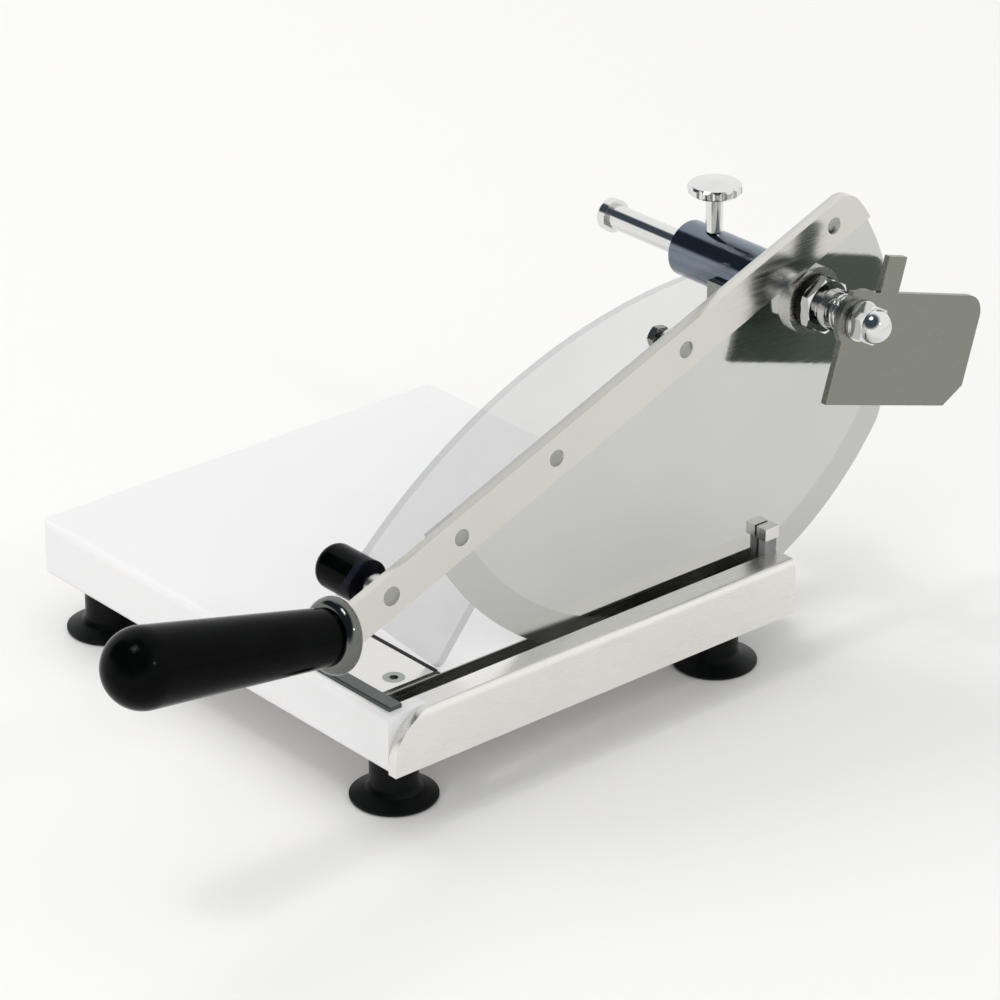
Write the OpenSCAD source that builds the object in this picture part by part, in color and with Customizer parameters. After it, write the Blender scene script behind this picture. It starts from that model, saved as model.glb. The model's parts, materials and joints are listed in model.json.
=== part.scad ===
// Lever bread slicer: a thick board on suction feet, a blade on a lever that swings down
// beside the board, a clear guard on the lever and a sliding stop that sets the slice.
// X runs across the blade, Y back along it and Z up from the table.

/* [Board] */
// Width of the board from its left side to the blade slot
board_w = 241; // [200:1:300]
// Length of the board along the blade
board_l = 238; // [215:1:270]
// Thickness of the board
board_h = 27.5; // [24:0.5:34]
// Radius of the board's upright left corners
board_corner_r = 8; // [5:0.5:14]
// Radius of the board's top and bottom edges
board_edge_r = 3; // [1:0.5:4]
// Width of the slot that the blade drops into
slot_w = 9; // [7.5:0.5:16]
// Solid length of the board in front of the slot
slot_front = 11; // [9:0.5:16]
// Free space between the blade and the board
blade_side_gap = 2; // [1.4:0.1:3]

/* [Side rail] */
// Width of the steel rail on the right of the slot
rail_w = 13; // [9:0.5:18]
// Width of the rail's front end, beside the board's front corner
rail_lip = 5; // [4:0.5:8]
// Radius of the rail's front top corner
rail_nose_r = 22; // [10:1:23]
// Radius of the rail's outer top edge
rail_edge_r = 3; // [1:0.5:5]
// Thickness of the flat brackets that tie the rail to the board
bracket_t = 3; // [2:0.5:4]
// Width of a rail bracket along the blade
bracket_w = 11.5; // [10:0.5:12]
// Reach of a rail bracket under the board
bracket_reach = 38; // [32:1:50]
// Distance of the front rail bracket from the board's front
bracket_front = 40; // [38:1:60]

/* [Feet] */
// Height of a suction foot
foot_h = 29; // [24:0.5:36]
// Diameter of a foot's sucker
foot_d = 40; // [34:1:42]
// Diameter of a foot's stem
foot_stem_d = 22; // [16:0.5:24]
// Height of the sucker's rim
foot_rim_h = 2; // [1.5:0.5:5]
// Height of the sucker's cone above its rim
foot_cone_h = 3; // [2:0.5:10]
// Distance of the feet from the board's left, front and rear sides
foot_inset = 22.5; // [21.5:0.5:30]
// Distance of the right feet from the slot
foot_slot_inset = 7; // [6:0.5:20]
// Width of the flat rim that a sucker stands on
sucker_rim = 5; // [3:0.5:8]
// Depth of the hollow under a sucker
sucker_depth = 2.5; // [1:0.5:3]
// Diameter of the steel stud in a foot
foot_stud_d = 6; // [5:0.5:8]
// Length of the stud inside the foot
foot_stud_in = 14; // [8:1:16]
// Length of the stud inside the board
foot_stud_up = 11; // [8:1:12]

/* [Front plate] */
// Length of the steel plate on the board's front right corner, across the blade
front_plate_w = 50; // [46:1:70]
// Depth of the front plate along the blade
front_plate_d = 31; // [24:1:33]
// Thickness of the front plate
front_plate_t = 2; // [1.5:0.5:3]
// Distance between the two front plate screws
front_screw_pitch = 32; // [26:1:34]
// Distance of the first front plate screw from the slot
front_screw_side = 7.4; // [6:0.2:9]
// Distance of the front plate screws from the plate's front edge
front_screw_back = 12.4; // [8:0.2:18]
// Length of the front plate screws
front_screw_l = 12; // [9:1:13]
// Width of the groove in the board behind the plate
groove_w = 2; // [1:0.5:3]
// Depth of the groove behind the plate
groove_h = 3; // [1:0.5:5]
// Depth of the black strip in front of the plate
strip_d = 7; // [5:0.5:8]
// Height of the black strip
strip_h = 2; // [1.5:0.5:5]

/* [Blade guide] */
// Length of the guide block at the rear end of the slot
guide_l = 7; // [5:0.5:14]
// Height of the guide block above the board
guide_rise = 12; // [8:0.5:24]
// Height of the guide's floor above the underside of the board
guide_floor = 7; // [6:0.5:8]
// Running clearance on each side of the blade
guide_clear = 0.6; // [0.4:0.1:1]
// Thickness of the guide's steel cap
guide_cap_t = 1.5; // [1:0.25:2]
// Depth of the guide's steel cap down the sides
guide_cap_h = 4.5; // [3:0.5:8]

/* [Pivot] */
// Distance of the pivot behind the board
pivot_back = 21; // [20:0.5:26]
// Height of the pivot above the board
pivot_rise = 118.5; // [112:0.5:130]
// Diameter of the steel tube that the lever turns on
sleeve_d = 16; // [15:0.5:17]
// Length of the tube inside the housing
sleeve_in = 26; // [18:1:30]
// Diameter of the polished housing
housing_d = 27; // [25:0.5:32]
// Length of the housing
housing_l = 51; // [48:1:60]
// Gap between the housing and the blade
housing_gap = 27; // [24:0.5:32]
// Thickness of a thrust washer
thrust_t = 2; // [1:0.25:2.5]
// Diameter of the thrust washers
thrust_d = 25; // [22:0.5:26]
// Outer diameter of the lever's hub
hub_d = 24; // [22:0.5:26]
// Diameter of the hub's flange on the blade
hub_flange_d = 40; // [34:1:44]
// Thickness of the hub's flange
hub_flange_t = 3; // [2:0.5:4]
// Diameter of the hub's spigot through the blade
hub_spigot_d = 21; // [19:0.5:22]
// Diameter of the ring nut that clamps the blade to the hub
hub_nut_d = 32; // [28:0.5:34]
// Thickness of the ring nut
hub_nut_t = 3.5; // [2.5:0.5:5]
// Width across the flats of the pivot nut
pivot_nut_af = 24; // [22:1:27]
// Thickness of the pivot nut
pivot_nut_t = 5.5; // [4:0.5:7]

/* [Rear post] */
// Width of the post across the blade
post_w = 20; // [18:1:22]
// Depth of the post's saddle along the blade
post_d = 34; // [32:1:40]
// Width of the post's foot flange
post_foot_w = 54; // [50:1:70]
// Thickness of the post's foot flange
post_foot_t = 8; // [6:0.5:12]
// Free height of the flange from the board's faces
post_foot_inset = 2; // [1:0.5:3]
// Distance of the post's bolts from the flange's ends
post_bolt_inset = 8; // [7:0.5:9]
// Diameter of the post's bolts
post_bolt_d = 6; // [5:0.5:7]
// Length of the post's bolts in the board
post_bolt_in = 24; // [15:1:30]

/* [Blade] */
// Thickness of the blade
blade_t = 2; // [1.5:0.25:2.5]
// Radius of the cutting edge
blade_r = 157; // [150:1:165]
// Distance of the cutting edge's centre in front of the pivot
blade_centre_front = 81; // [76:1:86]
// Height of the blade's lowest point above the underside of the board
blade_low = 3; // [1:0.5:5]
// Radius of the blade's rear edge
blade_back_r = 120; // [116:1:126]
// Radius of the blade's rear top corner
blade_corner_r = 12; // [8:1:16]
// Width of the ground bevel along the cutting edge
bevel_w = 16; // [10:1:20]
// Depth of the ground bevel at the cutting edge
bevel_t = 1.2; // [0.6:0.1:1.3]

/* [Lever] */
// Angle of the lever bar above the board at rest
lever_slope = 21.2; // [20:0.2:23]
// Width of the lever bar
bar_w = 20; // [17:0.5:22]
// Thickness of the lever bar
bar_t = 4; // [3:0.25:5]
// Height of the bar's centre line over the pivot
bar_rise = 27.7; // [27.3:0.1:30]
// Distance of the bar's front end in front of the board
bar_over = 15.8; // [12:0.2:30]
// Reach of the front rivet in front of the pivot
rivet_front = 214; // [205:1:220]
// Reach of the middle rivet in front of the pivot
rivet_middle = 156; // [140:1:170]
// Distance of the rear rivet behind the pivot
rivet_rear = 22; // [14:0.5:24]
// Diameter of the rivets
rivet_d = 5; // [4:0.5:6]
// Diameter of the rivets' heads
rivet_head_d = 8; // [7:0.5:9]

/* [Handle] */
// Angle of the handle above level, towards its tip
grip_angle = 10.9; // [4:0.1:16]
// Length of the handle from the ferrule's rear face to its tip
grip_l = 123; // [105:1:140]
// Diameter of the round tip of the grip
grip_tip_d = 35.5; // [31:0.5:40]
// Diameter of the grip at the ferrule
grip_neck_d = 25.5; // [22:0.5:28]
// Diameter of the ferrule
ferrule_d = 34; // [30:0.5:38]
// Length of the ferrule
ferrule_l = 9; // [7:0.5:12]
// Diameter of the tang inside the grip
tang_d = 8; // [6:0.5:10]
// Length of the tang
tang_l = 88; // [60:1:95]

/* [Guard] */
// Thickness of the clear guard
guard_t = 4; // [3:0.5:5]
// Gap between the blade and the guard
guard_gap = 6; // [5:0.5:8]
// Radius of the guard's top edge
guard_r = 280; // [265:1:300]
// Height of the guard's top over the bar's centre line
guard_crown = 36.8; // [30:0.2:44]
// Distance of the guard's middle behind the bar's front end
guard_middle = 137; // [131:1:143]
// Free space between the guard's lower lobe and the board and front plate
lobe_gap = 0.6; // [0.4:0.1:3]
// Radius of the lower lobe's tip
lobe_r = 4; // [3:0.5:8]
// Radius of the guard's rear corner
guard_corner_r = 6; // [4:0.5:8]
// Reach of the guard's rear screw in front of the pivot
guard_screw_reach = 74.5; // [66:0.5:84]
// Diameter of the guard's spacers
guard_spacer_d = 12; // [10:0.5:14]
// Distance of the black knob behind the bar's front end
knob_inset = 28; // [26:1:32]
// Diameter of the black knob
knob_d = 21; // [18:0.5:24]
// Length of the black knob
knob_l = 26; // [22:1:32]
// Diameter of the knob's stud
knob_stud_d = 6; // [5:0.5:7]
// Length of the stud inside the knob
knob_stud_in = 15; // [10:1:18]

/* [Stop] */
// Diameter of the stop rod
rod_d = 12; // [11:0.25:13]
// Length of the rod that stands out on the left of the housing
rod_left = 54; // [52:1:80]
// Diameter of the cap on the rod's left end
rod_cap_d = 16; // [15:0.5:19]
// Length of the rod's end cap
rod_cap_l = 6; // [4:0.5:9]
// Gap between the pivot tube and the collar on the rod
collar_gap = 2.5; // [2.4:0.1:5]
// Diameter of the collar and the washers on the rod
collar_d = 19; // [17.5:0.5:22]
// Thickness of the collar
collar_t = 4; // [3:0.5:6]
// Length of the coil spring
spring_l = 9; // [8.5:0.25:14]
// Middle diameter of the coil spring
spring_d = 16; // [15.2:0.1:16.4]
// Diameter of the spring's wire
spring_wire_d = 1.5; // [1.2:0.1:1.6]
// Turns of the coil spring
spring_turns = 2.5; // [1.5:0.25:2.5]
// Thickness of the washers beside the stop plate
stop_washer_t = 1.5; // [1:0.25:2]
// Width across the flats of the domed nut
stop_nut_af = 17; // [16:0.5:20]
// Length of the domed nut's hexagon
stop_nut_l = 7; // [5:0.5:9]
// Thickness of the stop plate
stop_t = 3; // [2:0.25:4]
// Length of the stop plate behind the rod
stop_back = 81; // [70:1:95]
// Length of the stop plate in front of the rod
stop_fore = 9; // [5:0.5:14]
// Depth of the stop plate under the rod
stop_down = 40; // [34:1:46]
// Height of the stop plate's long edge over the rod
stop_up = 13; // [11:0.5:15]
// Tilt of the stop plate at rest
stop_tilt = 16.8; // [5:0.2:25]
// Radius of the stop plate's rounded corners
stop_corner_r = 10; // [6:0.5:11]
// Radius of the stop plate's eye round the rod
stop_eye_r = 14; // [12.5:0.5:15]
// Height of the stop plate's finger tab over the rod
tab_up = 30; // [24:1:36]
// Distance of the finger tab's rear edge from the rod
tab_back = 21; // [19:0.5:24]
// Width of the finger tab
tab_w = 12; // [9:0.5:14]

/* [Thumb screw] */
// Distance of the thumb screw from the left end of the housing
thumb_inset = 17; // [14:0.5:18]
// Diameter of the thumb screw's head
thumb_head_d = 25.5; // [20:0.5:30]
// Thickness of the head's rim
thumb_head_t = 4.5; // [3:0.5:6]
// Height of the head over the housing
thumb_rise = 19; // [14:0.5:26]
// Diameter of the thumb screw's neck
thumb_neck_d = 8; // [7.5:0.25:10]
// Diameter of the thumb screw's thread
thumb_stud_d = 6; // [5:0.25:7]

/* [Clearances] */
// Radial clearance of fixed pieces in their holes
fit = 0.05; // [0.02:0.01:0.08]
// Radial clearance of turning and sliding pieces
run = 0.05; // [0.03:0.01:0.09]
// Free space between pieces that move past each other
free = 0.3; // [0.2:0.05:0.5]

/* [Hidden] */
$fn = 64;
reach = 600;

// Screws with flat heads
flat_head_d = 7;
flat_shank_d = 3.5;
plate_head_d = 10;
plate_shank_d = 4.5;
flat_slope = 0.5;
socket_share = 0.45;
socket_depth = 1.5;
bracket_screw_l = 15;
bracket_screw_inset = 4.2;
rail_skin = 1;
strip_edge_r = 1;
strip_inset = 4;
housing_screw_pitch = 11;
housing_screw_drop = 8;
housing_screw_tip = 7;
bolt_head_d = 10;
bolt_head_l = 6;
rivet_head_h = 1.2;
knob_head_d = 9;
nut_shoulder = 0.5;
guard_nut_t = 4;
guard_nut_af = 10;
knob_edge_r = 5;
bevel_stop = 0.5;
thumb_cone = 3;
thumb_chamfer = 1;
thumb_crown = 1.5;
thumb_scallops = 14;
scallop_d = 5;
scallop_depth = 0.8;
housing_chamfer = 0.8;
cap_edge_r = 2;

// Feet
foot_chamfer = 1;
foot_flare = 2;
sucker_r = foot_d / 2 - sucker_rim;

// Levels of the board
board_bottom = foot_h;
board_top = foot_h + board_h;
strip_y = slot_front - strip_d;

// Places across the blade
slot_left = -blade_t / 2 - blade_side_gap;
slot_right = slot_left + slot_w;
board_left = slot_left - board_w;
rail_outer = slot_right + rail_w;
front_w = rail_w - rail_lip;
bracket_l = bracket_reach + slot_w + rail_w - rail_skin;
bar_x0 = blade_t / 2;
bar_x1 = bar_x0 + bar_t;
bar_mid = (bar_x0 + bar_x1) / 2;
guard_x1 = -blade_t / 2 - guard_gap;
guard_x0 = guard_x1 - guard_t;
housing_x1 = -blade_t / 2 - housing_gap;
housing_x0 = housing_x1 - housing_l;
hub_x0 = housing_x1 + thrust_t + free;
hub_x1 = max(bar_x1, blade_t / 2 + hub_nut_t) + free;
nut_x0 = hub_x1 + free + thrust_t;
sleeve_x1 = nut_x0 + pivot_nut_t + free;
sleeve_x0 = housing_x1 - sleeve_in;
collar_x0 = sleeve_x1 + collar_gap;
spring_x0 = collar_x0 + collar_t;
spring_x1 = spring_x0 + spring_l;
stop_x0 = spring_x1 + stop_washer_t + free;
stop_x1 = stop_x0 + stop_t;
stop_nut_x0 = stop_x1 + free + stop_washer_t;
stop_dome_r = stop_nut_af / 2 - nut_shoulder;
stop_nut_x1 = stop_nut_x0 + stop_nut_l + stop_dome_r;
rod_x1 = stop_nut_x0 + stop_nut_l;
rod_x0 = housing_x0 - rod_left;
thumb_x = housing_x0 + thumb_inset;
thumb_z = housing_d / 2 + thumb_rise;
post_x = housing_x1 - post_w / 2;

// Places along the blade, the pivot among them
pivot_y = board_l + pivot_back;
pivot_z = board_top + pivot_rise;
bar_reach = (pivot_y + bar_over - bar_rise * sin(lever_slope)) / cos(lever_slope);
bar_top = bar_rise + bar_w / 2;
bar_low = bar_rise - bar_w / 2;
bracket_rear = board_l - bracket_w;
feet_x = [board_left + foot_inset, slot_left - foot_slot_inset];
feet_y = [foot_inset, board_l - foot_inset];

// Blade: the cutting edge's centre, and the rear edge's centre along the bar
blade_centre_up = board_bottom + blade_low + blade_r - pivot_z;
back_s = -73.6;
back_t = -10.1;
corner_t = bar_top - blade_corner_r;
corner_s = back_s + sqrt(pow(blade_back_r - blade_corner_r, 2) - pow(corner_t - back_t, 2));

// Handle: its bend from the bar, and the centre of its round tip
grip_bend = lever_slope + grip_angle;
grip_tip_r = grip_tip_d / 2;
grip_tip_z = grip_l - grip_tip_r;
grip_taper = asin((grip_tip_r - grip_neck_d / 2) / (grip_tip_z - ferrule_l));
shoulder_r = grip_tip_r * cos(grip_taper);
shoulder_z = grip_tip_z - grip_tip_r * sin(grip_taper);

// The origin lies on the table under the middle of the whole slicer
far_left = board_left;
far_right = stop_nut_x1;
far_front = -bar_over - grip_tip_z * cos(grip_angle) - grip_tip_r;
far_rear = pivot_y + (stop_back - stop_corner_r) * cos(stop_tilt)
    + (stop_up - stop_corner_r) * sin(stop_tilt) + stop_corner_r;
origin = [(far_left + far_right) / 2, (far_front + far_rear) / 2, 0];

// Placing
module placed() translate(-origin) children();

module at_pivot() placed() translate([0, pivot_y, pivot_z]) children();

// A flat shape drawn in Y and Z, thick from x0 to x1
module sheet(x0, x1) translate([x0, 0, 0]) rotate([90, 0, 90]) linear_extrude(x1 - x0) children();

module round_bar(x0, x1, d) translate([x0, 0, 0]) rotate([0, 90, 0]) cylinder(h = x1 - x0, d = d);

module ring(x0, x1, d_out, d_in) difference() {
    round_bar(x0, x1, d_out);
    round_bar(x0 - 1, x1 + 1, d_in);
}

module hex_bar(x0, x1, across)
    translate([x0, 0, 0]) rotate([0, 90, 0]) cylinder(h = x1 - x0, d = across / cos(30), $fn = 6);

// A hexagon nut with both faces chamfered
module hex_nut(x0, x1, across) {
    corner = across / cos(30);
    chamfer = (corner - across) / 2 * tan(30);
    intersection() {
        hex_bar(x0, x1, across);
        translate([x0, 0, 0]) rotate([0, 90, 0]) rotate_extrude() polygon([
            [0, 0], [across / 2, 0], [corner / 2, chamfer], [corner / 2, x1 - x0 - chamfer],
            [across / 2, x1 - x0], [0, x1 - x0]
        ]);
    }
}

// A place on the lever bar's centre line, at a reach in front of the pivot
module on_bar(s) rotate([lever_slope, 0, 0]) translate([0, -s, bar_rise]) children();

module at_handle() at_pivot() on_bar(bar_reach) translate([bar_mid, 0, 0])
    rotate([90 - grip_bend, 0, 0]) children();

// A rectangle with its corners rounded
module rounded(size, r) {
    translate([r, 0]) square([size.x - 2 * r, size.y]);
    translate([0, r]) square([size.x, size.y - 2 * r]);
    for (x = [r, size.x - r], y = [r, size.y - r]) translate([x, y]) circle(r);
}

// A countersunk screw that points down, its head flush with z = 0
module flat_screw(head_d, shank_d, length, grow = 0) {
    head_h = (head_d - shank_d) * flat_slope;
    translate([0, 0, -length - grow]) cylinder(h = length, d = shank_d + 2 * grow);
    translate([0, 0, -head_h]) cylinder(h = head_h, d1 = shank_d + 2 * grow, d2 = head_d + 2 * grow);
    translate([0, 0, -0.01]) cylinder(h = grow + 0.01, d = head_d + 2 * grow);
}

module socket_screw(head_d, shank_d, length) difference() {
    flat_screw(head_d, shank_d, length);
    translate([0, 0, -socket_depth]) cylinder(h = length, d = head_d * socket_share, $fn = 6);
}

// Board
module board_outline() {
    rounded([board_w, board_l], board_corner_r);
    translate([board_w / 2, 0]) square([board_w / 2, board_l]);
    translate([board_w / 2, 0]) square([board_w / 2 + slot_w, slot_front]);
    translate([board_w + slot_w, 0]) square([front_w, rail_nose_r]);
}

module board_solid() intersection() {
    translate([board_left, 0, board_bottom]) linear_extrude(board_h) board_outline();
    translate([board_left, 0, board_bottom]) rotate([90, 0, 90]) linear_extrude(board_w + slot_w + front_w)
        rounded([board_l, board_h], board_edge_r);
    translate([board_left, board_l, board_bottom]) rotate([90, 0, 0]) linear_extrude(board_l) {
        rounded([board_w, board_h], board_edge_r);
        translate([board_w / 2, 0]) square([board_w / 2 + slot_w + front_w, board_h]);
    }
}

module board() color("whitesmoke") placed() difference() {
    board_solid();
    foot_stud_places() translate([0, 0, board_bottom - 1])
        cylinder(h = foot_stud_up + 1 + fit, d = foot_stud_d + 2 * fit);
    bracket_places() bracket_recess();
    board_screw_places() bracket_screw_hole();
    front_screw_places() flat_screw(plate_head_d, plate_shank_d, front_screw_l, fit);
    translate([slot_left - front_plate_w, slot_front + front_plate_d, board_top - groove_h])
        cube([front_plate_w + 1, groove_w, groove_h + 1]);
    post_bolt_places() translate([0, 0, -post_bolt_in - fit])
        cylinder(h = post_bolt_in + 2, d = post_bolt_d + 2 * fit);
}

// Front plate and strip
module front_screw_places()
    for (i = [0, 1])
        translate([slot_left - front_screw_side - i * front_screw_pitch,
                   slot_front + front_screw_back, board_top + front_plate_t]) children();

module front_plate() color("lightgray") placed() difference() {
    translate([slot_left - front_plate_w, slot_front, board_top])
        cube([front_plate_w, front_plate_d, front_plate_t]);
    front_screw_places() flat_screw(plate_head_d, plate_shank_d, front_screw_l, fit);
}

module front_plate_screws() color("darkgray") placed()
    front_screw_places() socket_screw(plate_head_d, plate_shank_d, front_screw_l);

module front_strip() color("black") placed()
    translate([slot_left - front_plate_w, strip_y, board_top])
        rotate([90, 0, 90]) linear_extrude(front_plate_w + slot_w + front_w - strip_inset) {
            square([strip_d, strip_h - strip_edge_r]);
            translate([strip_edge_r, 0]) square([strip_d - strip_edge_r, strip_h]);
            translate([strip_edge_r, strip_h - strip_edge_r]) circle(strip_edge_r);
        }

// Side rail, its brackets and their screws
module rail_profile() {
    translate([rail_nose_r, 0]) square([board_l - rail_nose_r, board_h]);
    square([board_l, board_h - rail_nose_r]);
    translate([rail_nose_r, board_h - rail_nose_r]) circle(rail_nose_r);
}

module rail_section() {
    square([rail_w - rail_edge_r, board_h]);
    square([rail_w, board_h - rail_edge_r]);
    translate([rail_w - rail_edge_r, board_h - rail_edge_r]) circle(rail_edge_r);
}

module side_rail() color("silver") placed() difference() {
    intersection() {
        translate([slot_right, 0, board_bottom]) rotate([90, 0, 90]) linear_extrude(rail_w)
            intersection() {
                rail_profile();
                square([board_l, board_h]);
            }
        translate([slot_right, board_l, board_bottom]) rotate([90, 0, 0]) linear_extrude(board_l)
            rail_section();
    }
    translate([slot_right - 1, -1, board_bottom - 1])
        cube([front_w + 1 + fit, rail_nose_r + 1 + fit, board_h + 2]);
    bracket_places() bracket_recess();
    rail_screw_places() bracket_screw_hole();
}

module bracket_places() for (y = [bracket_front, bracket_rear]) translate([0, y, board_bottom]) children();

module bracket_solid()
    translate([slot_left - bracket_reach, 0, 0])
        cube([bracket_l, bracket_w, bracket_t]);

// The recess that a bracket lies in, open to the underside
module bracket_recess()
    translate([slot_left - bracket_reach - fit, -fit, -1])
        cube([bracket_l + 2 * fit, bracket_w + 2 * fit, bracket_t + 1 + fit]);

// A screw that goes up from the underside of a bracket
module bracket_screw_hole() rotate([180, 0, 0]) flat_screw(flat_head_d, flat_shank_d, bracket_screw_l, fit);

module bracket_row(x) bracket_places() translate([x, bracket_w / 2, 0]) children();

module board_screw_places() bracket_row(slot_left - bracket_reach + bracket_screw_inset) children();

module rail_screw_places() bracket_row(rail_outer - rail_skin - bracket_screw_inset) children();

module rail_brackets() color("silver") placed() difference() {
    bracket_places() bracket_solid();
    board_screw_places() bracket_screw_hole();
    rail_screw_places() bracket_screw_hole();
}

module bracket_screws() color("darkgray") placed() {
    board_screw_places() rotate([180, 0, 0]) socket_screw(flat_head_d, flat_shank_d, bracket_screw_l);
    rail_screw_places() rotate([180, 0, 0]) socket_screw(flat_head_d, flat_shank_d, bracket_screw_l);
}

// Blade guide
guide_y = board_l - guide_l;
guide_half = blade_t / 2 + guide_clear;

module blade_guide() color("dimgray") placed() difference() {
    union() {
        translate([slot_left, guide_y, board_bottom]) cube([slot_w, guide_l, board_h]);
        translate([guide_half, guide_y, board_bottom])
            cube([slot_right - guide_half, guide_l, board_h + guide_rise]);
    }
    translate([-guide_half, guide_y - 1, board_bottom + guide_floor])
        cube([2 * guide_half, guide_l + 2, board_h + guide_rise]);
    bracket_places() bracket_recess();
}

module guide_cap() color("gainsboro") placed() difference() {
    translate([guide_half, guide_y - guide_cap_t, board_top + guide_rise - guide_cap_h])
        cube([slot_right - guide_half + guide_cap_t, guide_l + guide_cap_t, guide_cap_h + guide_cap_t]);
    translate([guide_half - 1, guide_y - fit, board_top])
        cube([slot_right - guide_half + 1 + fit, guide_l + 1, guide_rise]);
}

// Suction feet and their studs
module foot_stud_places() for (x = feet_x, y = feet_y) translate([x, y, 0]) children();

module foot(x, y) color("#15191a") placed() translate([x, y, 0]) rotate_extrude() difference() {
    polygon([
        [0, 0], [foot_d / 2 - foot_chamfer, 0], [foot_d / 2, foot_chamfer], [foot_d / 2, foot_rim_h],
        [foot_stem_d / 2 + foot_flare, foot_rim_h + foot_cone_h],
        [foot_stem_d / 2, foot_rim_h + foot_cone_h + foot_flare], [foot_stem_d / 2, foot_h], [0, foot_h]
    ]);
    polygon([
        [-1, -1], [sucker_r, -1], [sucker_r, 0], [sucker_r / 3, sucker_depth], [-1, sucker_depth]
    ]);
    translate([-1, foot_h - foot_stud_in - fit]) square([1 + foot_stud_d / 2 + fit, foot_stud_in + 1]);
}

module foot_front_left() foot(feet_x[0], feet_y[0]);
module foot_front_right() foot(feet_x[1], feet_y[0]);
module foot_rear_left() foot(feet_x[0], feet_y[1]);
module foot_rear_right() foot(feet_x[1], feet_y[1]);

module foot_studs() color("gray") placed() foot_stud_places()
    translate([0, 0, board_bottom - foot_stud_in]) cylinder(h = foot_stud_in + foot_stud_up, d = foot_stud_d);

// Rear post, its bolts and the housing screws
post_foot_z0 = board_bottom + post_foot_inset;
post_foot_z1 = board_top - post_foot_inset;
post_foot_mid = (post_foot_z0 + post_foot_z1) / 2;
post_y0 = pivot_y - post_d / 2;
post_y1 = pivot_y + post_d / 2;
post_foot_r = 4;
saddle_step = 5;
saddle_z0 = pivot_z - housing_d / 2 - saddle_step;
saddle_lip = 2;
saddle_z1 = pivot_z - saddle_lip;

module post_bolt_places()
    for (side = [-1, 1])
        translate([post_x + side * (post_foot_w / 2 - post_bolt_inset), board_l, post_foot_mid])
            rotate([-90, 0, 0]) children();

module housing_screw_places()
    for (side = [-1, 1])
        translate([post_x + side * housing_screw_pitch / 2, post_y1, pivot_z - housing_screw_drop])
            rotate([-90, 0, 0]) children();

module post_column()
    translate([post_x - post_w / 2, 0, 0]) rotate([90, 0, 90]) linear_extrude(post_w)
        polygon([
            [board_l, post_foot_z0], [post_y1 - saddle_step, post_foot_z0],
            [post_y1 - saddle_step, saddle_z0 - saddle_step], [post_y1, saddle_z0], [post_y1, saddle_z1],
            [post_y0, saddle_z1], [post_y0, saddle_z0], [post_y0 + saddle_step, saddle_z0 - saddle_step],
            [post_y0 + saddle_step, board_top + pivot_back], [board_l, board_top]
        ]);

module rear_post() color("darkgray") placed() difference() {
    union() {
        post_column();
        translate([post_x - post_foot_w / 2, board_l + post_foot_t, post_foot_z0]) rotate([90, 0, 0])
            linear_extrude(post_foot_t) rounded([post_foot_w, post_foot_z1 - post_foot_z0], post_foot_r);
    }
    translate([0, pivot_y, pivot_z]) round_bar(housing_x0, housing_x1 + 1, housing_d + 2 * fit);
    post_bolt_places() translate([0, 0, -1]) cylinder(h = post_foot_t + 2, d = post_bolt_d + 2 * fit);
    housing_screw_places() flat_screw(flat_head_d, flat_shank_d, housing_screw_l, fit);
}

module rear_post_bolts() color("gray") placed() post_bolt_places() {
    translate([0, 0, -post_bolt_in]) cylinder(h = post_bolt_in + post_foot_t, d = post_bolt_d);
    difference() {
        translate([0, 0, post_foot_t]) cylinder(h = bolt_head_l, d = bolt_head_d);
        translate([0, 0, post_foot_t + bolt_head_l / 2])
            cylinder(h = bolt_head_l, d = bolt_head_d / 2, $fn = 6);
    }
}

housing_screw_l = post_d / 2 - housing_screw_tip;

module housing_screws() color("gray") placed()
    housing_screw_places() socket_screw(flat_head_d, flat_shank_d, housing_screw_l);

// Housing, pivot tube, thrust washers and nut
module rod_housing() color("silver") difference() {
    at_pivot() translate([housing_x0, 0, 0]) rotate([0, 90, 0]) rotate_extrude() polygon([
        [0, 0], [housing_d / 2 - housing_chamfer, 0], [housing_d / 2, housing_chamfer],
        [housing_d / 2, housing_l - housing_chamfer], [housing_d / 2 - housing_chamfer, housing_l],
        [0, housing_l]
    ]);
    at_pivot() round_bar(housing_x0 - 1, housing_x1, rod_d + 2 * run);
    at_pivot() round_bar(sleeve_x0 - fit, housing_x1 + 1, sleeve_d + 2 * fit);
    at_pivot() translate([thumb_x, 0, 0]) cylinder(h = housing_d, d = thumb_stud_d + 2 * run);
    placed() housing_screw_places() flat_screw(flat_head_d, flat_shank_d, housing_screw_l, fit);
}

module pivot_sleeve() color("silver") at_pivot() ring(sleeve_x0, sleeve_x1, sleeve_d, rod_d + 2 * run);

module thrust_washers() color("black") at_pivot() {
    ring(housing_x1, housing_x1 + thrust_t, thrust_d, sleeve_d + 2 * fit);
    ring(nut_x0 - thrust_t, nut_x0, thrust_d, sleeve_d + 2 * fit);
}

module pivot_nut() color("gainsboro") at_pivot() difference() {
    hex_nut(nut_x0, nut_x0 + pivot_nut_t, pivot_nut_af);
    round_bar(nut_x0 - 1, nut_x0 + pivot_nut_t + 1, sleeve_d + 2 * fit);
}

// Outlines of the lever's flat pieces, drawn round the pivot
module under_line(height) translate([-reach, height - reach]) square([2 * reach, reach]);

// The rear end that the blade and the bar share, drawn along the bar
module lever_back() {
    corner_angle = atan2(corner_t - back_t, corner_s - back_s);
    difference() {
        translate([back_s, back_t]) circle(blade_back_r, $fn = 180);
        polygon([
            [corner_s, corner_t],
            [corner_s + reach * cos(corner_angle), corner_t + reach * sin(corner_angle)],
            [corner_s, corner_t + reach]
        ]);
    }
    translate([corner_s, corner_t]) circle(blade_corner_r);
    translate([back_s - reach, -reach]) square([reach, 2 * reach]);
}

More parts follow.
